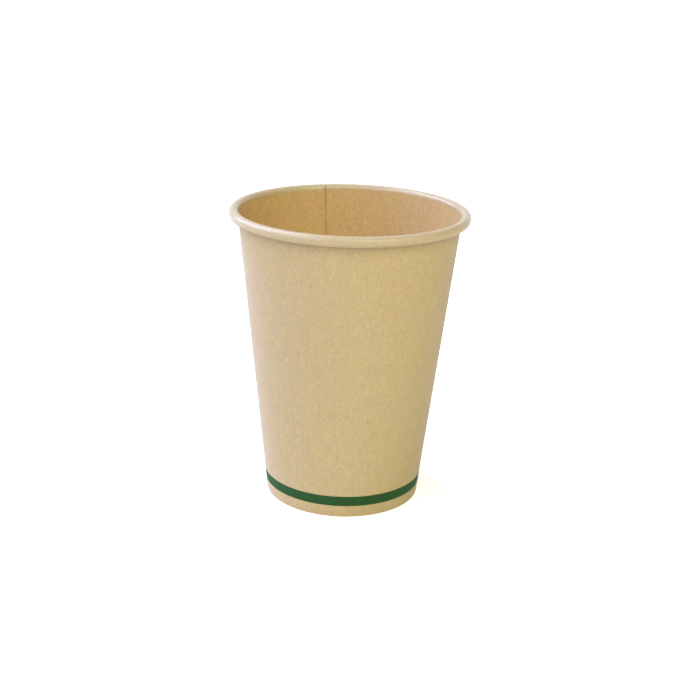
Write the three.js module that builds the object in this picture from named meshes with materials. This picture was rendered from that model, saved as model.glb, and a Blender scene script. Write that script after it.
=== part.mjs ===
// Paper cup for hot drinks. A fan-shaped sheet is wrapped into a cone and lapped at the back. Its top is
// rolled into the rim, and its foot is folded in and up around the skirt of a paper bottom.
// Millimetres, +Z up, origin at the centre of the base ring, on the table.

import * as THREE from "three";

// Driving dimensions: the cup
const rimDiameter = 90; // over the rolled rim
const cupHeight = 112; // from the table to the top of the rim
const baseDiameter = 59; // outside of the wall, carried on down to the table
const rollDiameter = 3.8; // thickness of the rolled rim

// Driving dimensions: the layers
const wallPaper = 0.4; // board of the wall
const bottomPaper = 0.32; // board of the bottom
const coat = 0.03; // barrier coat on the faces that meet the drink
const bond = 0.02; // melted film that a sealed joint adds to the coats in it
const ink = 0.02; // printed film

// Driving dimensions: the side seam, with widths measured halfway up the cup
const lapWidth = 7; // overlap of the sheet's two ends
const lapRamp = 4; // run in which the outer end steps out over the inner one
const cornerCut = 4; // clipped corner beside the seam, which keeps the roll there from growing too thick
const seamBearing = 103.6; // degrees from +X to the inner end of the sheet

// Driving dimensions: the rim
const rollTurn = 270; // degrees of the round outer turn
const tailTurn = 150; // degrees that the sheet's edge is tucked further in
const seamTail = 40; // degrees of the tucked edge that the clipped corners beside the seam leave
const tailGap = 0.14; // between the tucked edge and the wall

// Driving dimensions: the base
const floorHeight = 9; // from the table to the top of the bottom
const bottomBend = 0.7; // outside radius where the bottom turns down into its skirt
const hemHeight = 6.6; // from the table to the free edge of the hem
const foldRadius = 0.08; // inside radius of the hem's fold
const skirtClearance = 0.2; // from the skirt's edge to the fold below it

// Driving dimensions: the print
const bandBottom = 4.8; // from the table to the band's lower edge
const bandHeight = 4; // width of the printed band

// Fineness of the round shapes
const columnStep = THREE.MathUtils.degToRad(7); // widest step around the cup
const foldSteps = 2;
const bendSteps = 3;
const rollSteps = 9;
const tailSteps = 4;

// Thicknesses of the joints, which are the coats of both faces melted together
const sideSeal = coat + bond; // the lap: one of its faces is bare paper
const skirtSeal = 2 * coat + bond; // skirt against wall: both faces are coated
const hemSeal = coat + bond; // hem against the bare back of the skirt
const lapStep = wallPaper + sideSeal;
const foldGap = skirtSeal + bottomPaper + hemSeal; // what the folded hem holds

// The cone: its outer face runs from the foot up to a tangent of the roll
const quarter = Math.PI / 2;
const rollRadius = rollDiameter / 2 - coat;
const rollCentre = new THREE.Vector2(rimDiameter / 2 - rollDiameter / 2, cupHeight - rollDiameter / 2);
const foot = new THREE.Vector2(baseDiameter / 2, 0);
const reach = rollCentre.clone().sub(foot);
const slope = Math.atan2(reach.x, reach.y) - Math.asin((rollRadius - wallPaper) / reach.length());
const upTheCone = new THREE.Vector2(Math.sin(slope), Math.cos(slope));
const intoTheCup = new THREE.Vector2(-Math.cos(slope), Math.sin(slope));
const up = quarter - slope; // headings of a sheet that follows the cone
const down = -quarter - slope;

// A point in the section (x is the radius, y the height) at a distance along the wall and a depth inside it.
function onCone(distance, depth) {
  return foot.clone().addScaledVector(upTheCone, distance).addScaledVector(intoTheCup, depth);
}

// The distance along the cone at which that depth is at a height over the table.
function distanceAt(height, depth) {
  return (height - depth * Math.sin(slope)) / Math.cos(slope);
}

// Places along the wall's inner face
const bandFrom = distanceAt(bandBottom, 0);
const bandTo = bandFrom + bandHeight;
const bendFrom = distanceAt(floorHeight - bottomBend * (1 + Math.sin(slope)), wallPaper + skirtSeal);
const skirtFrom = distanceAt(wallPaper + lapStep + skirtClearance, wallPaper + skirtSeal);
const hemTo = distanceAt(hemHeight, wallPaper + foldGap);
const rollFrom = reach.dot(upTheCone);

// The line that a sheet's face follows in the section, with the direction of its right-hand side at each point.
class SheetPath {
  constructor(start, heading) {
    this.at = start.clone();
    this.heading = heading;
    this.stations = [];
    this.places = {};
    this.stop();
  }

  stop() {
    const right = new THREE.Vector2(Math.sin(this.heading), -Math.cos(this.heading));
    this.stations.push({ at: this.at.clone(), right });
    return this;
  }

  // Names the latest station.
  called(name) {
    this.places[name] = this.stations.length - 1;
    return this;
  }

  straight(length) {
    this.at.x += length * Math.cos(this.heading);
    this.at.y += length * Math.sin(this.heading);
    return this.stop();
  }

  // A positive angle turns left.
  bend(radius, angle, steps) {
    const side = Math.sign(angle);
    for (let step = 0; step < steps; step++) {
      const next = this.heading + angle / steps;
      this.at.x += side * radius * (Math.sin(next) - Math.sin(this.heading));
      this.at.y += side * radius * (Math.cos(this.heading) - Math.cos(next));
      this.heading = next;
      this.stop();
    }
    return this;
  }

  // The points at an offset to the right of the path, between two named stations or over all of it.
  face(offset, from, to) {
    const first = from ? this.places[from] : 0;
    const last = to ? this.places[to] : this.stations.length - 1;
    return this.stations
      .slice(first, last + 1)
      .map(({ at, right }) => at.clone().addScaledVector(right, offset));
  }
}

// The wall's coated face, from the hem's free edge round the fold, up the cone and round the roll.
// Beside the seam the fold lies higher, on the other end of the sheet, and the tucked tail is clipped short.
function wallPath(lift, tail) {
  const hemDepth = wallPaper + foldGap;
  const foldTop = wallPaper + lift + foldRadius;
  const foldFrom = distanceAt(foldTop + foldRadius * Math.sin(slope), hemDepth);
  const foldTo = distanceAt(foldTop - foldRadius * Math.sin(slope), wallPaper);
  const foldFlat = (foldGap - 2 * foldRadius) / Math.cos(slope);
  const tailRadius = rollRadius - wallPaper - tailGap;
  const floorFirst = bendFrom < bandTo;
  const [low, high] = floorFirst ? [bendFrom, bandTo] : [bandTo, bendFrom];
  const [lowName, highName] = floorFirst ? ["coatStart", "bandTop"] : ["bandTop", "coatStart"];
  return new SheetPath(onCone(hemTo, hemDepth), down)
    .straight(hemTo - foldFrom)
    .bend(foldRadius, quarter + slope, foldSteps)
    .straight(foldFlat)
    .bend(foldRadius, quarter - slope, foldSteps)
    .straight(bandFrom - foldTo)
    .called("bandBottom")
    .straight(low - bandFrom)
    .called(lowName)
    .straight(high - low)
    .called(highName)
    .straight(rollFrom - high)
    .bend(rollRadius, -THREE.MathUtils.degToRad(rollTurn), rollSteps)
    .called("rollEnd")
    .bend(tailRadius, -tail, tailSteps);
}

// The bottom's upper face, from the skirt's edge up the wall, round the bend and in to the axis.
function bottomPath() {
  const path = new SheetPath(onCone(skirtFrom, wallPaper + skirtSeal), up)
    .straight(hemTo - skirtFrom)
    .called("hemEdge")
    .straight(bendFrom - hemTo)
    .called("bend")
    .bend(bottomBend, quarter + slope, bendSteps);
  return path.straight(path.at.x);
}

// Angles around the cup, counted clockwise from the inner end of the sheet
const fullTurn = 2 * Math.PI;
const midRadius = onCone(rollFrom / 2, 0).x;
const lapEnd = lapWidth / midRadius;
const ramp = lapRamp / midRadius;
const cut = cornerCut / midRadius;

// Even steps from one angle up to, and without, another.
function evenSteps(from, to) {
  const count = Math.max(1, Math.ceil((to - from) / columnStep));
  return Array.from({ length: count }, (_, i) => from + ((to - from) * i) / count);
}

const lapColumns = evenSteps(0, lapEnd);
const edges = [lapEnd, lapEnd + ramp, lapEnd + ramp + cut];
edges.push(fullTurn - ramp - cut, fullTurn - ramp, fullTurn);
const openColumns = edges.slice(1).flatMap((edge, i) => evenSteps(edges[i], edge));
const oneTurn = [...lapColumns, ...openColumns];
const overTheLap = [...lapColumns, lapEnd].map((angle) => fullTurn + angle);

const smooth = (share) => THREE.MathUtils.smoothstep(share, 0, 1);

// How far the sheet is stepped out at an angle, to pass over its own inner end.
function stepOut(angle) {
  return lapStep * smooth((angle - (fullTurn - ramp)) / ramp);
}

// How far an angle lies outside the lap, on either side of it.
function besideLap(angle) {
  const turned = angle % fullTurn;
  return Math.max(0, Math.min(turned - lapEnd, fullTurn - turned));
}

function wallPathAt(angle) {
  const lift = lapStep * (1 - smooth(besideLap(angle) / ramp));
  const tailShare = THREE.MathUtils.clamp((besideLap(angle) - ramp) / cut, 0, 1);
  return wallPath(lift, THREE.MathUtils.degToRad(THREE.MathUtils.lerp(seamTail, tailTurn, tailShare)));
}

// A section of a layer at an angle: the points of its left-hand face and of its right-hand face.
function section(angle, path, left, right, from, to) {
  const bearing = THREE.MathUtils.degToRad(seamBearing) - angle;
  return { bearing, near: path.face(left, from, to), far: path.face(right, from, to) };
}

// A layer of the wrapped sheet, between two depths behind its coated face.
function wallLayer(angles, left, right, from, to) {
  return angles.map((angle) => {
    const out = stepOut(angle);
    return section(angle, wallPathAt(angle), out + left, out + right, from, to);
  });
}

// A layer of the bottom, the same all the way round.
function bottomLayer(left, right, from, to) {
  const path = bottomPath();
  return oneTurn.map((angle) => section(angle, path, left, right, from, to));
}

// The closed solid between both faces of a row of sections. A closed ring joins its last section to its first.
function sheetGeometry(sections, ring) {
  const count = sections[0].near.length;
  const vertices = sections.flatMap(({ bearing, near, far }) =>
    [...near, ...far].map((p) => new THREE.Vector3(p.x * Math.cos(bearing), p.x * Math.sin(bearing), p.y)),
  );
  const near = (column, i) => (column % sections.length) * 2 * count + i;
  const far = (column, i) => near(column, i) + count;
  const triangles = [];
  const apart = (a, b) => vertices[a].distanceToSquared(vertices[b]) > Number.EPSILON;
  const triangle = (a, b, c) => {
    if (apart(a, b) && apart(b, c) && apart(c, a)) triangles.push(a, b, c);
  };
  const quad = (a, b, c, d) => {
    triangle(a, b, c);
    triangle(a, c, d);
  };
  const spans = ring ? sections.length : sections.length - 1;
  const last = count - 1;
  for (let c = 0; c < spans; c++) {
    for (let i = 0; i < last; i++) {
      quad(near(c, i), near(c + 1, i), near(c + 1, i + 1), near(c, i + 1));
      quad(far(c, i), far(c, i + 1), far(c + 1, i + 1), far(c + 1, i));
    }
    quad(near(c, 0), far(c, 0), far(c + 1, 0), near(c + 1, 0));
    quad(near(c, last), near(c + 1, last), far(c + 1, last), far(c, last));
  }
  if (!ring) {
    for (let i = 0; i < last; i++) {
      quad(near(0, i), near(0, i + 1), far(0, i + 1), far(0, i));
      quad(near(spans, i), far(spans, i), far(spans, i + 1), near(spans, i + 1));
    }
  }
  const geometry = new THREE.BufferGeometry().setFromPoints(vertices).setIndex(triangles);
  geometry.computeVertexNormals();
  return geometry;
}

// Materials
const kraft = new THREE.MeshStandardMaterial({ color: 0xcdb586, roughness: 0.85, metalness: 0 });
const coatedKraft = new THREE.MeshStandardMaterial({ color: 0xc9a96e, roughness: 0.45, metalness: 0 });
const sealFilm = new THREE.MeshStandardMaterial({ color: 0xd8c8a0, roughness: 0.4, metalness: 0 });
const greenInk = new THREE.MeshStandardMaterial({ color: 0x2f5433, roughness: 0.7, metalness: 0 });

const cup = new THREE.Group();

function add(name, material, sections, ring) {
  const mesh = new THREE.Mesh(sheetGeometry(sections, ring), material);
  mesh.name = name;
  cup.add(mesh);
}

// The wrapped sheet, its barrier coat and the seal in its lap
add("side_wall", kraft, wallLayer([...oneTurn, ...overTheLap], 0, wallPaper), false);
add("wall_coat", coatedKraft, wallLayer([...oneTurn, fullTurn], -coat, 0, "coatStart", "rollEnd"), false);
add("side_seam_seal", sealFilm, wallLayer([...lapColumns, lapEnd], wallPaper, lapStep), false);

// The printed band, on the sheet's outer face as far as that face shows
const shownOutside = [...openColumns, ...overTheLap];
const bandLayer = wallLayer(shownOutside, wallPaper, wallPaper + ink, "bandBottom", "bandTop");
add("printed_band", greenInk, bandLayer, false);

// The bottom, its barrier coat and the seals on both sides of its skirt
add("bottom_disc", kraft, bottomLayer(-bottomPaper, 0), true);
add("floor_coat", coatedKraft, bottomLayer(0, coat, "bend"), true);
add("skirt_seal", sealFilm, bottomLayer(0, skirtSeal, null, "bend"), true);
add("hem_seal", sealFilm, bottomLayer(-bottomPaper - hemSeal, -bottomPaper, null, "hemEdge"), true);

export default cup;
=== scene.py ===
"""A kraft paper cup for hot drinks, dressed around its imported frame.

Two sheets of board make the cup: the wall, whose two ends are lapped, and the bottom. The section of
each is drawn by extruding one vertex, and is then spun round the cup. Every coat, seal and print is a
layer cut from a copy of one of these sheets.
Metres, +Z up, the cup's axis on Z and the viewer towards -Y.
"""

import math

import bmesh
import bpy
from mathutils import Matrix, Vector


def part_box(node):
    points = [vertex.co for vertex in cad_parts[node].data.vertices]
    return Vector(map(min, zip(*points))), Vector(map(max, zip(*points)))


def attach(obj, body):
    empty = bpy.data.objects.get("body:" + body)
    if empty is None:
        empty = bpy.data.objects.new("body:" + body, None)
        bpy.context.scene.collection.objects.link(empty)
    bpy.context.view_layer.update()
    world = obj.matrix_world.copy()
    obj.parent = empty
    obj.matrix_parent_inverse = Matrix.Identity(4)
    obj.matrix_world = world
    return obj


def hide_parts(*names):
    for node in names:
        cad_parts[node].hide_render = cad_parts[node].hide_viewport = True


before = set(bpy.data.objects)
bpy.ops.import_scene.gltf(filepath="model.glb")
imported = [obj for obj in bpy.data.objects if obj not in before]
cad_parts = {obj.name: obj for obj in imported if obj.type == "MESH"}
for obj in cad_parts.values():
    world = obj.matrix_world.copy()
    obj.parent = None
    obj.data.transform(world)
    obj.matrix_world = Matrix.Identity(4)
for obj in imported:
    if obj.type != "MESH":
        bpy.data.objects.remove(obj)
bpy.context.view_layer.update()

MM = 0.001
QUARTER = math.pi / 2
UP = Vector((0, 0, 1))

# Sizes of the cup
RIM_RADIUS = 45 * MM  # over the rolled rim
CUP_HEIGHT = 112 * MM
FOOT_RADIUS = 29.5 * MM  # outside of the wall, carried on down to the table
ROLL_DIAMETER = 3.8 * MM
FLOOR_BEND = 0.7 * MM  # outside radius where the bottom turns down into its skirt
FOLD_RADIUS = 0.08 * MM  # inside radius of the hem's fold
TAIL_GAP = 0.14 * MM  # between the tucked edge of the rim and the wall
ROLL_TURN = math.radians(270)
SEAM_TAIL = math.radians(40)  # tucked edge that is left beside the seam
TAIL_TURN = math.radians(150)  # tucked edge elsewhere

# Thicknesses of the layers
BOARD = 0.4 * MM
BOTTOM_BOARD = 0.32 * MM
COAT = 0.03 * MM
INK = 0.02 * MM
SIDE_SEAL = 0.05 * MM
SKIRT_SEAL = 0.08 * MM
HEM_SEAL = 0.05 * MM
LAP_STEP = BOARD + SIDE_SEAL
FOLD_GAP = SKIRT_SEAL + BOTTOM_BOARD + HEM_SEAL
FOLD_TOP = BOARD + 2 * FOLD_RADIUS  # over the table, past the fold's bends

# Pressed marks on the hem, which hold it to the skirt
KNURL_MARGIN = 0.9 * MM  # from the hem's edge, and from its fold, to the marks
KNURL_END = 0.25 * MM  # run in which a mark fades out
KNURL_DEPTH = 0.09 * MM
KNURL_COLUMNS = 3  # one mark in so many columns

# Heights that the frame gives
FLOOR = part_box("floor_coat")[1].z - COAT
HEM_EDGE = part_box("hem_seal")[1].z
SKIRT_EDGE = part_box("skirt_seal")[0].z
BAND_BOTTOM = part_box("printed_band")[0].z
BAND_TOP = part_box("printed_band")[1].z

# Columns around the cup, counted clockwise from the seam's inner edge
COLUMNS = 324
COLUMN = 2 * math.pi / COLUMNS
LAP_COLUMNS = 10
RAMP_COLUMNS = 6
DIVE_COLUMNS = 1  # the ramp's last columns, in which the roll dives under the other end's roll
CUT_COLUMNS = 6  # clipped corner of the sheet, past the ramp
SEAM_BEARING = math.radians(103.6)

# Fineness of the section
FOLD_STEPS = 6
ROLL_STEPS = 36
SEAM_TAIL_STEPS = 4
TAIL_STEPS = 11
BEND_STEPS = 8
WALL_RINGS = 14
FLOOR_RINGS = 10
SMOOTH_ANGLE = math.radians(35)  # edges that turn more than this stay sharp

# The cone of the wall
ROLL_RADIUS = ROLL_DIAMETER / 2 - COAT
TAIL_RADIUS = ROLL_RADIUS - BOARD - TAIL_GAP
ROLL_CENTRE = Vector((RIM_RADIUS - ROLL_DIAMETER / 2, CUP_HEIGHT - ROLL_DIAMETER / 2))
FOOT = Vector((FOOT_RADIUS, 0))
REACH = ROLL_CENTRE - FOOT
SLOPE = math.atan2(REACH.x, REACH.y) - math.asin((ROLL_RADIUS - BOARD) / REACH.length)
UP_THE_CONE = Vector((math.sin(SLOPE), math.cos(SLOPE)))
INTO_THE_CUP = Vector((-math.cos(SLOPE), math.sin(SLOPE)))
TOUCH = 0.003 * MM  # closer than this, two places are one


def on_cone(distance, depth):
    """A point of the section, as radius and height, along the wall and inside its outer face."""
    return FOOT + UP_THE_CONE * distance + INTO_THE_CUP * depth


def distance_at(height, depth):
    """How far along the wall that depth is at a height over the table."""
    return (height - depth * math.sin(SLOPE)) / math.cos(SLOPE)


# Places along the wall
HEM_DEPTH = BOARD + FOLD_GAP
SKIRT_DEPTH = BOARD + SKIRT_SEAL
HEM_FROM = distance_at(HEM_EDGE, HEM_DEPTH)
BEND_FROM = distance_at(FLOOR - FLOOR_BEND * (1 + math.sin(SLOPE)), SKIRT_DEPTH)
SKIRT_FROM = distance_at(SKIRT_EDGE, BOARD)
BAND_FROM = distance_at(BAND_BOTTOM, 0)
BAND_TO = distance_at(BAND_TOP, 0)
ROLL_FROM = REACH.dot(UP_THE_CONE)


def radial(bearing):
    return Vector((math.cos(bearing), math.sin(bearing), 0))


# Modelling by hand: what is selected, and the pen that draws a section


def start_editing(piece):
    bpy.ops.object.select_all(action="DESELECT")
    piece.select_set(True)
    bpy.context.view_layer.objects.active = piece
    bpy.ops.object.mode_set(mode="EDIT")


def stop_editing():
    bpy.ops.object.mode_set(mode="OBJECT")


def mesh_in_hand(piece):
    mesh = bmesh.from_edit_mesh(piece.data)
    mesh.verts.index_update()
    return mesh


def select_vertices(piece, wanted):
    """Selects the vertices that are wanted, and nothing else."""
    bpy.ops.mesh.select_mode(type="VERT")
    bpy.ops.mesh.select_all(action="DESELECT")
    mesh = mesh_in_hand(piece)
    for vertex in mesh.verts:
        vertex.select = wanted(vertex)
    mesh.select_flush_mode()
    bmesh.update_edit_mesh(piece.data)


def select_faces(piece, wanted):
    """Selects the faces that are wanted, and nothing else."""
    bpy.ops.mesh.select_mode(type="FACE")
    bpy.ops.mesh.select_all(action="DESELECT")
    mesh = mesh_in_hand(piece)
    for face in mesh.faces:
        face.select = wanted(face)
    mesh.select_flush_mode()
    bmesh.update_edit_mesh(piece.data)


def name_selection(piece, group):
    """Keeps the selected vertices under a name. The copies that a spin makes stay under it too."""
    if group not in piece.vertex_groups:
        piece.vertex_groups.new(name=group)
    bpy.ops.object.vertex_group_set_active(group=group)
    bpy.ops.object.vertex_group_assign()


def name_parts(piece, parts):
    """Keeps the vertices that pass each part's test under the part's name."""
    for group, wanted in parts.items():
        select_vertices(piece, wanted)
        name_selection(piece, group)


def unname_selection(group):
    """Takes the selected vertices off a name again."""
    bpy.ops.object.vertex_group_set_active(group=group)
    bpy.ops.object.vertex_group_remove_from()


def named_test(piece, group):
    """A test of whether a vertex is kept under that name."""
    index = piece.vertex_groups[group].index
    layer = bmesh.from_edit_mesh(piece.data).verts.layers.deform.verify()
    return lambda vertex: index in vertex[layer]


class SectionPen:
    """Draws a section at a bearing by extruding one vertex, and by spinning it round the bends."""

    def __init__(self, name, place, heading, bearing):
        self.out = radial(bearing)
        self.at = place.copy()
        self.heading = heading
        bpy.ops.object.select_all(action="DESELECT")
        bpy.ops.mesh.primitive_plane_add(size=MM, location=self.in_space(place))
        self.piece = bpy.context.object
        self.piece.name = name
        self.piece.data.name = name
        bpy.ops.object.transform_apply(location=True)
        start_editing(self.piece)
        bpy.ops.mesh.select_all(action="SELECT")
        bpy.ops.mesh.merge(type="CENTER")

    def in_space(self, point):
        return self.out * point.x + UP * point.y

    def left(self):
        return Vector((-math.sin(self.heading), math.cos(self.heading)))

    def straight(self, length, runs=1):
        step = Vector((math.cos(self.heading), math.sin(self.heading))) * (length / runs)
        for _ in range(runs):
            bpy.ops.mesh.extrude_region_move(TRANSFORM_OT_translate={"value": self.in_space(step)})
        self.at += step * runs

    def bend(self, radius, angle, steps):
        """A positive angle turns left."""
        side = math.copysign(radius, angle)
        centre = self.at + self.left() * side
        axis = UP.cross(self.out)
        bpy.ops.mesh.spin(steps=steps, angle=angle, center=self.in_space(centre), axis=axis)
        self.heading += angle
        self.at = centre - self.left() * side


def in_section(vertex):
    """A vertex's place in the section, as radius and height."""
    return Vector((vertex.co.to_2d().length, vertex.co.z))


def along_wall(vertex):
    return (in_section(vertex) - FOOT).dot(UP_THE_CONE)


def depth_in_wall(vertex):
    return (in_section(vertex) - FOOT).dot(INTO_THE_CUP)


def past_seam(vertex):
    """The turn from the seam's inner edge, clockwise from above, within half a turn either way."""
    turn = SEAM_BEARING - math.atan2(vertex.co.y, vertex.co.x)
    return (turn + math.pi) % (2 * math.pi) - math.pi


def sweep(columns):
    """Spins the selected section round the cup, clockwise from above. Its last copy stays selected."""
    bpy.ops.mesh.spin(steps=columns, angle=columns * COLUMN, center=(0, 0, 0), axis=UP)


def smooth_step(share):
    return share * share * (3 - 2 * share)


# The sheets, which have no thickness yet


def draw_wall_section():
    """The wall's coated face, from the hem's free edge round the fold, up the cone and round the rim."""
    fold_centre = BOARD + FOLD_RADIUS
    fold_from = distance_at(fold_centre + FOLD_RADIUS * math.sin(SLOPE), HEM_DEPTH)
    fold_to = distance_at(fold_centre - FOLD_RADIUS * math.sin(SLOPE), BOARD)
    pen = SectionPen("kraft_wall", on_cone(HEM_FROM, HEM_DEPTH), -QUARTER - SLOPE, SEAM_BEARING)
    pen.straight(KNURL_MARGIN - KNURL_END)
    pen.straight(KNURL_END)
    pen.straight(HEM_FROM - fold_from - 2 * KNURL_MARGIN)
    pen.straight(KNURL_END)
    pen.straight(KNURL_MARGIN - KNURL_END)
    pen.bend(FOLD_RADIUS, QUARTER + SLOPE, FOLD_STEPS)
    pen.straight((FOLD_GAP - 2 * FOLD_RADIUS) / math.cos(SLOPE))
    pen.bend(FOLD_RADIUS, QUARTER - SLOPE, FOLD_STEPS)
    pen.straight(BAND_FROM - fold_to, runs=2)
    pen.straight(BEND_FROM - BAND_FROM)
    pen.straight(BAND_TO - BEND_FROM)
    pen.straight(ROLL_FROM - BAND_TO, runs=WALL_RINGS)
    pen.bend(ROLL_RADIUS, -ROLL_TURN, ROLL_STEPS)
    pen.bend(TAIL_RADIUS, -SEAM_TAIL, SEAM_TAIL_STEPS)
    pen.bend(TAIL_RADIUS, SEAM_TAIL - TAIL_TURN, TAIL_STEPS)
    return pen.piece


def in_fold(vertex):
    return vertex.co.z < FOLD_TOP


def in_band(vertex):
    shown = abs(depth_in_wall(vertex) - BOARD) < TOUCH
    return shown and BAND_FROM - TOUCH < along_wall(vertex) < BAND_TO + TOUCH


def from_roll(vertex):
    """How far a vertex lies inside the roll's outer round."""
    return ROLL_RADIUS - (in_section(vertex) - ROLL_CENTRE).length


def in_coat(vertex):
    """Whether the coat is still a layer of its own here, over the bottom and out of the tucked edge."""
    return along_wall(vertex) > BEND_FROM - TOUCH and from_roll(vertex) < TOUCH


def in_roll(vertex):
    return from_roll(vertex) > -TOUCH


def in_tail(vertex):
    """Whether a vertex is in the stretch of tucked edge that is cut off beside the seam."""
    across = TAIL_RADIUS * math.sin(SEAM_TAIL)
    down = ROLL_RADIUS - TAIL_RADIUS + TAIL_RADIUS * math.cos(SEAM_TAIL)
    return from_roll(vertex) > ROLL_RADIUS - math.hypot(across, down) - TOUCH


def selected_column(piece):
    """The numbers of the vertices that are selected."""
    return {vertex.index for vertex in mesh_in_hand(piece).verts if vertex.select}


def select_column(piece, column):
    select_vertices(piece, lambda vertex: vertex.index in column)


def select_in_column(piece, column, group, inside=True):
    """Selects the vertices of a column that are kept under a name, or those that aren't."""
    named = named_test(piece, group)
    select_vertices(piece, lambda vertex: vertex.index in column and named(vertex) == inside)


def lift_fold(piece, bearing, rise):
    """Moves the fold of the selected column up along the cone, over the other end of the sheet."""
    column = selected_column(piece)
    select_in_column(piece, column, "fold")
    bpy.ops.transform.translate(value=(radial(bearing) * math.tan(SLOPE) + UP) * rise)
    select_column(piece, column)


def step_out(piece, rise, roll_rise):
    """Moves the selected column out by a rise, and its roll in by one of its own."""
    column = selected_column(piece)
    select_in_column(piece, column, "roll", inside=False)
    bpy.ops.transform.shrink_fatten(value=rise)
    select_in_column(piece, column, "roll")
    bpy.ops.transform.shrink_fatten(value=roll_rise)
    select_column(piece, column)


def ramp_rises(columns):
    """What each column of a smooth ramp rises over the one before it."""
    steps = [smooth_step(i / columns) * LAP_STEP for i in range(columns + 1)]
    return [after - before for before, after in zip(steps, steps[1:])]


def wrap_wall():
    """The fan-shaped sheet, wrapped into a cone. Its outer end steps out over its inner end."""
    piece = draw_wall_section()
    parts = {"fold": in_fold, "band": in_band, "coat": in_coat, "roll": in_roll, "tail": in_tail}
    name_parts(piece, parts)
    bpy.ops.mesh.select_all(action="SELECT")
    name_selection(piece, "inner end")
    bearing = SEAM_BEARING
    lift_fold(piece, bearing, LAP_STEP)
    sweep(LAP_COLUMNS)
    bearing -= LAP_COLUMNS * COLUMN
    rises = ramp_rises(RAMP_COLUMNS)
    for rise in rises:
        sweep(1)
        unname_selection("inner end")
        bearing -= COLUMN
        lift_fold(piece, bearing, -rise)
    plain_columns = COLUMNS - LAP_COLUMNS - 2 * RAMP_COLUMNS
    sweep(plain_columns)
    bearing -= plain_columns * COLUMN
    roll_rises = [0] * (RAMP_COLUMNS - DIVE_COLUMNS) + ramp_rises(DIVE_COLUMNS)
    for rise, roll_rise in zip(rises, roll_rises):
        sweep(1)
        bearing -= COLUMN
        step_out(piece, rise, roll_rise)
        lift_fold(piece, bearing, rise)
    name_selection(piece, "outer end")
    sweep(LAP_COLUMNS)
    clip_corners(piece)
    stop_editing()
    return piece


def clip_corners(piece):
    """Cuts the tucked edge of the rim short beside the seam, where the roll holds two layers."""
    beside = (RAMP_COLUMNS + CUT_COLUMNS) * COLUMN
    end = LAP_COLUMNS * COLUMN + beside
    named = named_test(piece, "tail")

    def clipped(face):
        near = all(-beside < past_seam(vertex) < end for vertex in face.verts)
        return near and all(named(vertex) for vertex in face.verts)

    select_faces(piece, clipped)
    bpy.ops.mesh.delete(type="FACE")


def in_skirt(vertex):
    return depth_in_wall(vertex) < SKIRT_DEPTH + TOUCH


def in_hem_joint(vertex):
    return in_skirt(vertex) and along_wall(vertex) < HEM_FROM + TOUCH


def in_floor(vertex):
    return not in_skirt(vertex) or along_wall(vertex) > BEND_FROM - TOUCH


def press_bottom():
    """The bottom's upper face, from the skirt's edge up the wall, round the bend and in to the axis."""
    skirt_edge = on_cone(SKIRT_FROM, SKIRT_DEPTH)
    pen = SectionPen("kraft_bottom", skirt_edge, QUARTER - SLOPE, SEAM_BEARING)
    piece = pen.piece
    pen.straight(HEM_FROM - SKIRT_FROM)
    pen.straight(BEND_FROM - HEM_FROM)
    pen.bend(FLOOR_BEND, QUARTER + SLOPE, BEND_STEPS)
    pen.straight(pen.at.x, runs=FLOOR_RINGS)
    name_parts(piece, {"hem": in_hem_joint, "skirt": in_skirt, "floor": in_floor})
    bpy.ops.mesh.select_all(action="SELECT")
    sweep(COLUMNS)
    bpy.ops.mesh.select_all(action="SELECT")
    bpy.ops.mesh.remove_doubles(threshold=TOUCH)
    stop_editing()
    return piece


# The layers


def give_finishes(piece, *finishes):
    piece.data.materials.clear()
    for finish in finishes:
        piece.data.materials.append(finish)


def thicken(piece, thickness):
    """Gives a sheet its thickness, on the side its normals point to, or on the other if negative.

    A second finish goes on the cut edges.
    """
    bpy.ops.object.select_all(action="DESELECT")
    piece.select_set(True)
    bpy.context.view_layer.objects.active = piece
    bpy.ops.object.modifier_add(type="SOLIDIFY")
    wall = piece.modifiers[-1]
    wall.thickness = abs(thickness)
    wall.offset = math.copysign(1, thickness)
    wall.use_even_offset = True
    wall.use_quality_normals = True
    wall.material_offset_rim = len(piece.data.materials) - 1
    bpy.ops.object.modifier_apply(modifier=wall.name)
    bpy.ops.object.vertex_group_remove(all=True)
    bpy.ops.object.shade_smooth_by_angle(angle=SMOOTH_ANGLE)


def cut_layer(sheet, name, finish, group, thickness, without=None, raised=0.0):
    """A layer on the sheet's faces of one group, without those of another, raised from the sheet."""
    bpy.ops.object.select_all(action="DESELECT")
    sheet.select_set(True)
    bpy.context.view_layer.objects.active = sheet
    bpy.ops.object.duplicate()
    layer = bpy.context.object
    layer.name = name
    layer.data.name = name
    give_finishes(layer, finish)
    start_editing(layer)
    wanted = named_test(layer, group)
    unwanted = named_test(layer, without) if without else lambda vertex: False

    def left_off(face):
        kept = all(wanted(vertex) for vertex in face.verts)
        return not kept or all(unwanted(vertex) for vertex in face.verts)

    select_faces(layer, left_off)
    bpy.ops.mesh.delete(type="FACE")
    bpy.ops.mesh.select_all(action="SELECT")
    bpy.ops.transform.shrink_fatten(value=raised)
    stop_editing()
    thicken(layer, thickness)
    return layer


def press_knurl(wall):
    """Presses the row of short upright marks into the hem's inner face."""
    face_depth = HEM_DEPTH + BOARD
    high = HEM_FROM - KNURL_MARGIN + TOUCH
    low = distance_at(FOLD_TOP, HEM_DEPTH) + KNURL_MARGIN / 2
    pitch = KNURL_COLUMNS * COLUMN

    def marked(vertex):
        on_face = depth_in_wall(vertex) > face_depth - COAT and low < along_wall(vertex) < high
        return on_face and (past_seam(vertex) + COLUMN / 2) % pitch < COLUMN

    start_editing(wall)
    select_vertices(wall, marked)
    bpy.ops.transform.shrink_fatten(value=-KNURL_DEPTH)
    stop_editing()


# Finishes

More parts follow.
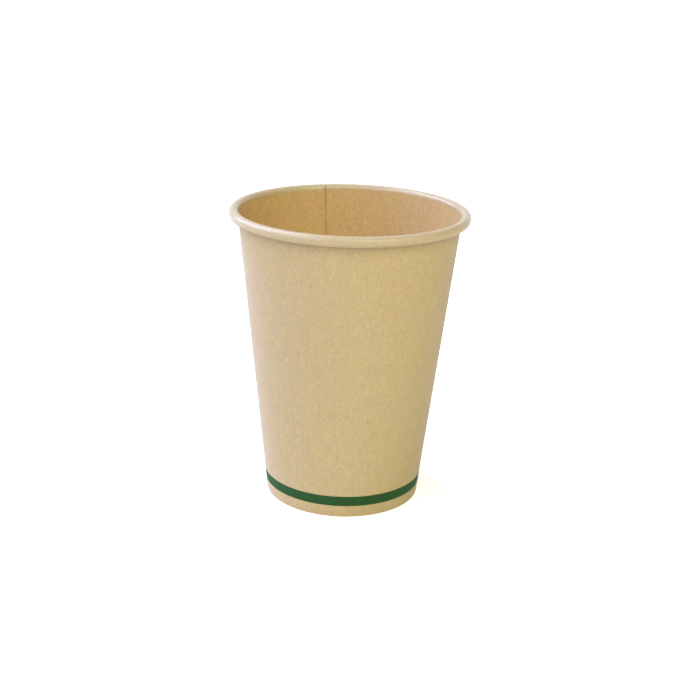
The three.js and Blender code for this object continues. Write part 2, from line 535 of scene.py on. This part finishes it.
# What shows in the board's pulp: its sizes, and how much of it there is
CLOUD_SIZE = 2.8 * MM
MOTTLE_SIZE = 0.63 * MM
GRAIN_SIZE = 0.55 * MM
UPRIGHT_FIBRE_SIZE = 0.5 * MM
LEVEL_FIBRE_SIZE = 0.42 * MM
FUZZ_SIZE = 0.16 * MM
BLUSH_SIZE = 6 * MM
FLECK_SPACING = 3.2 * MM
PULP_AMOUNTS = {"Clouds": 0.18, "Mottle": 0.35, "Grain": 0.15, "Fibres": 0.08, "Flecks": 0.25}
NOISE_MIDDLE = 0.5
FIBRE_MIDDLE = 0.25
FIBRE_CURL = 0.8
FIBRE_EDGE = 0.06  # from a fibre's middle line to where it has faded out, on the noise's scale
FLECK_LOT = (0.86, 0.9)  # a spot holds a fleck only if the lot that it draws is higher than this
FLECK_FADE = (0.02, 0.09)  # from a fleck's middle to its edge, as shares of the spacing
BLUSH_RANGE = (0.3, 0.7)
RELIEF_RANGE = (0.4, 1.6)  # about how low and how high the relief goes, before the bump scales it
RELIEF_DEPTH = 0.03 * MM

# The coat, inside the cup and round the roll
INSIDE_PULP = {"Clouds": 0.26, "Mottle": 0.52, "Grain": 0.1}
ROLL_PULP = {"Clouds": 0.2, "Mottle": 0.25, "Grain": 0.05}
INSIDE_GLOSS = 0.1
ROLL_TOP_GLOSS = 0.85
# Painted light on the roll: its top is tinted bluer and paler as a painted highlight, and its lip is
# tinted lighter as painted light from below
ROLL_TOP_PAINTED_HIGHLIGHT = (0.88, 1.0, 1.3, 1.0)
ROLL_LIP_PAINTED_LIGHT = (0.98, 1.1, 1.28, 1.0)
ROLL_CHANGE = 0.6 * MM  # over and under the roll's middle, where its top, with the painted highlight, passes into its painted lighter lip
ROLL_ENTRY = 1.0 * MM  # inwards from the roll's middle, where the inside passes into the roll
CREASE_SIZE = 0.7 * MM
CREASE_PULL = 0.05  # size of a crease across the rim, as a share of its size along it
CREASE_HEIGHT = 5.0


def place(tree, kind, **settings):
    node = tree.nodes.new(kind)
    for name, value in settings.items():
        setattr(node, name, value)
    return node


def plug(tree, socket, value):
    """Links an output to a socket, or sets a plain value on it."""
    if isinstance(value, bpy.types.NodeSocket):
        tree.links.new(value, socket)
    else:
        socket.default_value = value


def set_sockets(node, values):
    """Sets plain values on a node's own sockets."""
    for name, value in values.items():
        node.inputs[name].default_value = value


def calculate(tree, operation, first, second=0.0, third=0.0):
    node = place(tree, "ShaderNodeMath", operation=operation)
    for socket, value in zip(node.inputs, (first, second, third)):
        plug(tree, socket, value)
    return node.outputs["Value"]


def stretched(tree, position, x=1, y=1, z=1):
    """Draws a pattern out along each axis whose number is under 1."""
    node = place(tree, "ShaderNodeVectorMath", operation="MULTIPLY")
    plug(tree, node.inputs[0], position)
    node.inputs[1].default_value = (x, y, z)
    return node.outputs["Vector"]


def distance_from_axis(tree, position):
    node = place(tree, "ShaderNodeVectorMath", operation="LENGTH")
    plug(tree, node.inputs[0], stretched(tree, position, z=0))
    return node.outputs["Value"]


def noise(tree, position, size, detail=2.0, roughness=0.5, distortion=0.0):
    """Soft noise of about a size in metres, from 0 to 1."""
    node = place(tree, "ShaderNodeTexNoise")
    plug(tree, node.inputs["Vector"], position)
    settings = {"Scale": 1 / size, "Detail": detail, "Roughness": roughness, "Distortion": distortion}
    set_sockets(node, settings)
    return node.outputs["Fac"]


def ramp_between(tree, value, low, high, start=0.0, end=1.0):
    """Goes smoothly from start to end as the value goes from low to high."""
    node = place(tree, "ShaderNodeMapRange", interpolation_type="SMOOTHSTEP")
    plug(tree, node.inputs["Value"], value)
    set_sockets(node, {"From Min": low, "From Max": high, "To Min": start, "To Max": end})
    return node.outputs["Result"]


def blend_colours(tree, share, first, second, blend="MIX"):
    node = place(tree, "ShaderNodeMix", data_type="RGBA", blend_type=blend)
    sockets = {socket.identifier: socket for socket in node.inputs}
    for name, value in (("Factor_Float", share), ("A_Color", first), ("B_Color", second)):
        plug(tree, sockets[name], value)
    return next(socket for socket in node.outputs if socket.identifier == "Result_Color")


def fibre_strands(tree, position):
    """Curled lines, some upright and some level, from 0 beside them to 1 on them."""
    upright = noise(tree, stretched(tree, position, z=0.3), UPRIGHT_FIBRE_SIZE, 1, distortion=FIBRE_CURL)
    level_place = stretched(tree, position, x=0.35, y=0.35)
    level = noise(tree, level_place, LEVEL_FIBRE_SIZE, 1, distortion=FIBRE_CURL)
    lines = []
    for strands in (upright, level):
        from_middle = calculate(tree, "ABSOLUTE", calculate(tree, "SUBTRACT", strands, NOISE_MIDDLE))
        lines.append(ramp_between(tree, from_middle, 0.0, FIBRE_EDGE, 1.0, 0.0))
    return calculate(tree, "MAXIMUM", *lines)


def dark_flecks(tree, position):
    """A few small spots, from 0 beside them to 1 in their middle."""
    cells = place(tree, "ShaderNodeTexVoronoi")
    plug(tree, cells.inputs["Vector"], stretched(tree, position, z=0.6))
    cells.inputs["Scale"].default_value = 1 / FLECK_SPACING
    lot = place(tree, "ShaderNodeSeparateColor")
    plug(tree, lot.inputs["Color"], cells.outputs["Color"])
    chosen = ramp_between(tree, lot.outputs["Red"], *FLECK_LOT)
    spot = ramp_between(tree, cells.outputs["Distance"], *FLECK_FADE, 1.0, 0.0)
    return calculate(tree, "MULTIPLY", chosen, spot)


def make_pulp_group():
    """What pulp does to board: clouds, mottle, an upright grain, fibres, dark flecks and a blush."""
    tree = bpy.data.node_groups.new("board_pulp", "ShaderNodeTree")
    for name, amount in PULP_AMOUNTS.items():
        socket = tree.interface.new_socket(name=name, in_out="INPUT", socket_type="NodeSocketFloat")
        socket.default_value = amount
    for name in ("Tone", "Blush", "Height"):
        tree.interface.new_socket(name=name, in_out="OUTPUT", socket_type="NodeSocketFloat")
    amounts = place(tree, "NodeGroupInput").outputs
    results = place(tree, "NodeGroupOutput").inputs
    position = place(tree, "ShaderNodeTexCoord").outputs["Object"]

    clouds = noise(tree, position, CLOUD_SIZE, detail=3, roughness=0.6)
    mottle = noise(tree, stretched(tree, position, z=0.5), MOTTLE_SIZE)
    grain = noise(tree, stretched(tree, position, z=0.07), GRAIN_SIZE)
    fuzz = noise(tree, position, FUZZ_SIZE)
    fibre = fibre_strands(tree, position)

    tone = 1.0
    for amount, mark, middle in (
        ("Clouds", clouds, NOISE_MIDDLE),
        ("Mottle", mottle, NOISE_MIDDLE),
        ("Grain", grain, NOISE_MIDDLE),
        ("Fibres", fibre, FIBRE_MIDDLE),
    ):
        swing = calculate(tree, "SUBTRACT", mark, middle)
        tone = calculate(tree, "MULTIPLY_ADD", swing, amounts[amount], tone)
    darker = calculate(tree, "MULTIPLY", dark_flecks(tree, position), amounts["Flecks"])
    plug(tree, results["Tone"], calculate(tree, "SUBTRACT", tone, darker))

    patches = noise(tree, position, BLUSH_SIZE, detail=4, roughness=0.6)
    plug(tree, results["Blush"], ramp_between(tree, patches, *BLUSH_RANGE))

    height = fuzz
    for mark, share in ((fibre, 0.5), (clouds, 0.5), (grain, 0.4)):
        height = calculate(tree, "MULTIPLY_ADD", mark, share, height)
    plug(tree, results["Height"], height)
    return tree


def srgb(red, green, blue):
    """A colour as it is seen on a screen, from 0 to 255, as the linear colour of a shader."""
    channels = [value / 255 for value in (red, green, blue)]
    linear = [c / 12.92 if c <= 0.04045 else ((c + 0.055) / 1.055) ** 2.4 for c in channels]
    return (*linear, 1.0)


def pulp_finish(name, tones, roughness, swing, bump, **amounts):
    """A finish on board, whose colour goes between two tones. Returns the material and its shader."""
    material = bpy.data.materials.new(name)
    material.use_nodes = True
    tree = material.node_tree
    shader = tree.nodes["Principled BSDF"]
    pulp = place(tree, "ShaderNodeGroup", name="pulp", node_tree=PULP)
    set_sockets(pulp, amounts)
    colour = blend_colours(tree, pulp.outputs["Blush"], *tones)
    tone = place(tree, "ShaderNodeCombineColor")
    for channel in tone.inputs:
        plug(tree, channel, pulp.outputs["Tone"])
    colour = blend_colours(tree, 1.0, colour, tone.outputs["Color"], "MULTIPLY")
    plug(tree, shader.inputs["Base Color"], colour)
    height = pulp.outputs["Height"]
    rough = ramp_between(tree, height, *RELIEF_RANGE, roughness - swing, roughness + swing)
    plug(tree, shader.inputs["Roughness"], rough)
    relief = place(tree, "ShaderNodeBump", name="relief")
    set_sockets(relief, {"Strength": bump, "Distance": RELIEF_DEPTH})
    plug(tree, relief.inputs["Height"], height)
    plug(tree, shader.inputs["Normal"], relief.outputs["Normal"])
    return material, shader


def make_kraft():
    """Bare kraft board: matte, with a soft bloom of loose fibre ends at a grazing view."""
    tones = srgb(203, 183, 126), srgb(205, 180, 130)
    material, shader = pulp_finish("kraft_board", tones, roughness=0.7, swing=0.08, bump=0.35)
    set_sockets(shader, {"Specular IOR Level": 0.2, "Sheen Weight": 0.3, "Sheen Roughness": 0.4})
    return material


def make_cut_edge():
    """The raw core of the board, where it was cut."""
    tones = srgb(196, 168, 118), srgb(176, 146, 98)
    amounts = {"Fibres": 0.2, "Clouds": 0.15}
    material, shader = pulp_finish("cut_edge", tones, roughness=0.9, swing=0.05, bump=0.5, **amounts)
    set_sockets(shader, {"Specular IOR Level": 0.2})
    return material


def roll_shares(tree):
    """Where the coat goes round the roll, and where it is on the roll's top, each from 0 to 1. The top
    share also separates the painted highlight on the roll's top from the painted light on its lip.
    """
    position = place(tree, "ShaderNodeTexCoord").outputs["Object"]
    parts = place(tree, "ShaderNodeSeparateXYZ")
    plug(tree, parts.inputs["Vector"], position)
    middle = ROLL_CENTRE.y
    high = ramp_between(tree, parts.outputs["Z"], middle - ROLL_CHANGE, middle + ROLL_CHANGE)
    across = distance_from_axis(tree, position)
    wide = ramp_between(tree, across, ROLL_CENTRE.x - ROLL_ENTRY, ROLL_CENTRE.x)
    return calculate(tree, "MAXIMUM", high, wide), high


def roll_creases(tree):
    """Fine creases that the rolling leaves along the rim. They break off at the seam."""
    turned = place(tree, "ShaderNodeMapping")
    plug(tree, turned.inputs["Vector"], place(tree, "ShaderNodeTexCoord").outputs["Object"])
    turned.inputs["Rotation"].default_value = (0, 0, math.pi - SEAM_BEARING)
    position = turned.outputs["Vector"]
    parts = place(tree, "ShaderNodeSeparateXYZ")
    plug(tree, parts.inputs["Vector"], position)
    bearing = calculate(tree, "ARCTAN2", parts.outputs["Y"], parts.outputs["X"])
    wound = place(tree, "ShaderNodeCombineXYZ")
    plug(tree, wound.inputs["X"], calculate(tree, "MULTIPLY", bearing, CREASE_PULL * RIM_RADIUS))
    plug(tree, wound.inputs["Y"], distance_from_axis(tree, position))
    plug(tree, wound.inputs["Z"], parts.outputs["Z"])
    return noise(tree, wound.outputs["Vector"], CREASE_SIZE, detail=1)


def make_coated_kraft():
    """Kraft board under its thin coat: deeper in colour, and on the roll smoother, creased and glossy,
    with painted light in the roll's colour: a bluer, paler painted highlight on its top and a lighter
    painted lip.
    """
    tones = srgb(205, 176, 111), srgb(207, 172, 115)
    material, shader = pulp_finish("coated_kraft", tones, roughness=0.65, swing=0.06, bump=0.25)
    tree = material.node_tree
    pulp = tree.nodes["pulp"]
    rolled, high = roll_shares(tree)
    for amount, inside in INSIDE_PULP.items():
        plug(tree, pulp.inputs[amount], ramp_between(tree, rolled, 0.0, 1.0, inside, ROLL_PULP[amount]))
    creased = calculate(tree, "MULTIPLY", rolled, CREASE_HEIGHT)
    height = calculate(tree, "MULTIPLY_ADD", roll_creases(tree), creased, pulp.outputs["Height"])
    plug(tree, tree.nodes["relief"].inputs["Height"], height)
    painted = shader.inputs["Base Color"].links[0].from_socket
    # Painted light: a bluer, paler painted highlight on the roll's top, and a lighter painted lip under
    # it
    painted_light_tint = blend_colours(tree, high, ROLL_LIP_PAINTED_LIGHT, ROLL_TOP_PAINTED_HIGHLIGHT)
    plug(tree, shader.inputs["Base Color"], blend_colours(tree, rolled, painted, painted_light_tint, "MULTIPLY"))
    gloss = ramp_between(tree, high, 0.0, 1.0, INSIDE_GLOSS, ROLL_TOP_GLOSS)
    plug(tree, shader.inputs["Coat Weight"], gloss)
    set_sockets(shader, {"Coat Roughness": 0.15, "Sheen Weight": 0.1, "Sheen Roughness": 0.5})
    return material


def make_green_ink():
    """Matte green ink, thin enough for the board's fibres to show."""
    tones = srgb(38, 79, 34), srgb(41, 82, 38)
    amounts = {"Fibres": 0.2, "Clouds": 0.2, "Mottle": 0.3}
    material, shader = pulp_finish("green_ink", tones, roughness=0.65, swing=0.08, bump=0.3, **amounts)
    set_sockets(shader, {"Specular IOR Level": 0.15})
    return material


def make_seal_film():
    """Coat that melted in a sealed joint and shows only at its edge."""
    tones = srgb(214, 196, 152), srgb(206, 182, 132)
    material, shader = pulp_finish("seal_film", tones, roughness=0.35, swing=0.05, bump=0.1, Fibres=0.02)
    set_sockets(shader, {"Coat Weight": 0.3})
    return material


# The scene around the cup

CUP_MIDDLE = UP * CUP_HEIGHT / 2
WHITE = (1, 1, 1, 1)
FLOOR_PAINT = (0.9, 0.9, 0.9, 1)
FLOOR_SIZE = 16.0
FLOOR_FILL = 0.6  # how much of its white the floor gives by itself, close to the cup
FILL_RANGE = (0.1, 1.0)  # distances from the cup over which this grows to all of it
LAMP_DISTANCE = 1.2
STRIP_SIZE = (0.4, 1.2)  # width and height of a lamp
SOFTBOX_SIZE = (1.3, 0.8)
COOL_WHITE = (0.95, 1.0, 1.55)
WARM_WHITE = (1.05, 1.0, 0.77)
VIEW_DISTANCE = 511 * MM
VIEW_ELEVATION = math.radians(19.014)
VIEW_ROLL = math.radians(1.733)
SENSOR_WIDTH = 36.0
FRAME_PIXELS = 700
FOCAL_PIXELS = 1330.1
AIM_PIXELS = (-4.198, 1.014)  # the cup's middle, right of the frame's middle and below it


def set_camera():
    """The photograph's own view, in a square frame."""
    back = Vector((0, -math.cos(VIEW_ELEVATION), math.sin(VIEW_ELEVATION)))
    turn = Matrix.Rotation(QUARTER - VIEW_ELEVATION, 4, "X") @ Matrix.Rotation(VIEW_ROLL, 4, "Z")
    bpy.ops.object.camera_add(location=CUP_MIDDLE + back * VIEW_DISTANCE, rotation=turn.to_euler())
    camera = bpy.context.object
    camera.name = "photo_view"
    camera.data.sensor_width = SENSOR_WIDTH
    camera.data.lens = SENSOR_WIDTH * FOCAL_PIXELS / FRAME_PIXELS
    camera.data.shift_x = -AIM_PIXELS[0] / FRAME_PIXELS
    camera.data.shift_y = AIM_PIXELS[1] / FRAME_PIXELS
    bpy.context.scene.camera = camera


def hang_lamp(name, size, colour, bearing, elevation, power):
    """A soft lamp at a bearing from the viewer's side, clockwise from above, aimed at the cup."""
    turned = math.radians(bearing)
    raised = math.radians(elevation)
    flat = Vector((-math.sin(turned), -math.cos(turned), 0))
    towards = flat * math.cos(raised) + UP * math.sin(raised)
    spot = CUP_MIDDLE + towards * LAMP_DISTANCE
    facing = towards.to_track_quat("Z", "Y").to_euler()
    bpy.ops.object.light_add(type="AREA", location=spot, rotation=facing)
    lamp = bpy.context.object
    lamp.name = name
    lamp.data.shape = "RECTANGLE"
    lamp.data.size = size[0]
    lamp.data.size_y = size[1]
    lamp.data.energy = power
    lamp.data.color = colour


def set_lights():
    """Cool light from the left, and warm light from the front and the right."""
    hang_lamp("left_strip", STRIP_SIZE, COOL_WHITE, bearing=105, elevation=45, power=6.0)
    hang_lamp("back_left_strip", STRIP_SIZE, COOL_WHITE, bearing=130, elevation=42, power=5.6)
    hang_lamp("near_left_softbox", SOFTBOX_SIZE, COOL_WHITE, bearing=60, elevation=40, power=6.4)
    hang_lamp("front_softbox", SOFTBOX_SIZE, WARM_WHITE, bearing=-20, elevation=40, power=7.1)
    hang_lamp("right_softbox", SOFTBOX_SIZE, WARM_WHITE, bearing=-50, elevation=33, power=3.3)


def background_share(tree):
    """1 for what the camera sees, straight or in a reflection, and 0 for light that falls on the cup."""
    path = place(tree, "ShaderNodeLightPath").outputs
    mirrored = calculate(tree, "MAXIMUM", path["Is Glossy Ray"], path["Is Transmission Ray"])
    return calculate(tree, "MAXIMUM", path["Is Camera Ray"], mirrored)


def set_world():
    """A room that the camera sees as plain white and that gives the cup no light of its own."""
    world = bpy.data.worlds.new("white_room")
    bpy.context.scene.world = world
    world.use_nodes = True
    tree = world.node_tree
    shown = tree.nodes["Background"]
    shown.inputs["Color"].default_value = WHITE
    plug(tree, shown.inputs["Strength"], background_share(tree))


def set_floor():
    """A pale floor that keeps the cup's shadow and otherwise runs into the white behind it."""
    bpy.ops.object.select_all(action="DESELECT")
    bpy.ops.mesh.primitive_plane_add(size=FLOOR_SIZE)
    floor = bpy.context.object
    floor.name = "pale_floor"
    material = bpy.data.materials.new("pale_floor")
    material.use_nodes = True
    tree = material.node_tree
    shader = tree.nodes["Principled BSDF"]
    set_sockets(shader, {"Base Color": FLOOR_PAINT, "Emission Color": WHITE})
    set_sockets(shader, {"Roughness": 0.9, "Specular IOR Level": 0.1})
    away = place(tree, "ShaderNodeVectorMath", operation="LENGTH")
    plug(tree, away.inputs[0], place(tree, "ShaderNodeTexCoord").outputs["Object"])
    fill = ramp_between(tree, away.outputs["Value"], *FILL_RANGE, FLOOR_FILL, 1.0)
    shown = calculate(tree, "MULTIPLY", background_share(tree), fill)
    plug(tree, shader.inputs["Emission Strength"], shown)
    give_finishes(floor, material)


# Making the cup


def join_cup(piece, slot, *nodes):
    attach(piece, "root")
    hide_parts(*nodes)


set_camera()

PULP = make_pulp_group()
kraft = make_kraft()
cut_edge = make_cut_edge()
coated_kraft = make_coated_kraft()
seal_film = make_seal_film()
green_ink = make_green_ink()

wall = wrap_wall()
inner_coat = cut_layer(wall, "inner_coat", coated_kraft, "coat", -COAT, without="outer end")
green_band = cut_layer(wall, "green_band", green_ink, "band", INK, without="inner end", raised=BOARD)
side_bond = cut_layer(wall, "side_bond", seal_film, "inner end", SIDE_SEAL, raised=BOARD)
give_finishes(wall, kraft, cut_edge)
thicken(wall, BOARD)
press_knurl(wall)

bottom = press_bottom()
floor_coat = cut_layer(bottom, "floor_film", coated_kraft, "floor", COAT)
skirt_bond = cut_layer(bottom, "skirt_bond", seal_film, "skirt", SKIRT_SEAL)
hem_bond = cut_layer(bottom, "hem_bond", seal_film, "hem", -HEM_SEAL, raised=-BOTTOM_BOARD)
give_finishes(bottom, kraft, cut_edge)
thicken(bottom, -BOTTOM_BOARD)

join_cup(wall, "kraft_paper", "side_wall")
join_cup(inner_coat, "barrier_coat", "wall_coat")
join_cup(green_band, "green_ink", "printed_band")
join_cup(side_bond, "seal_film", "side_seam_seal")
join_cup(bottom, "kraft_paper", "bottom_disc")
join_cup(floor_coat, "barrier_coat", "floor_coat")
join_cup(skirt_bond, "seal_film", "skirt_seal")
join_cup(hem_bond, "seal_film", "hem_seal")

set_floor()
set_lights()
set_world()
bpy.context.scene.view_settings.view_transform = "Standard"
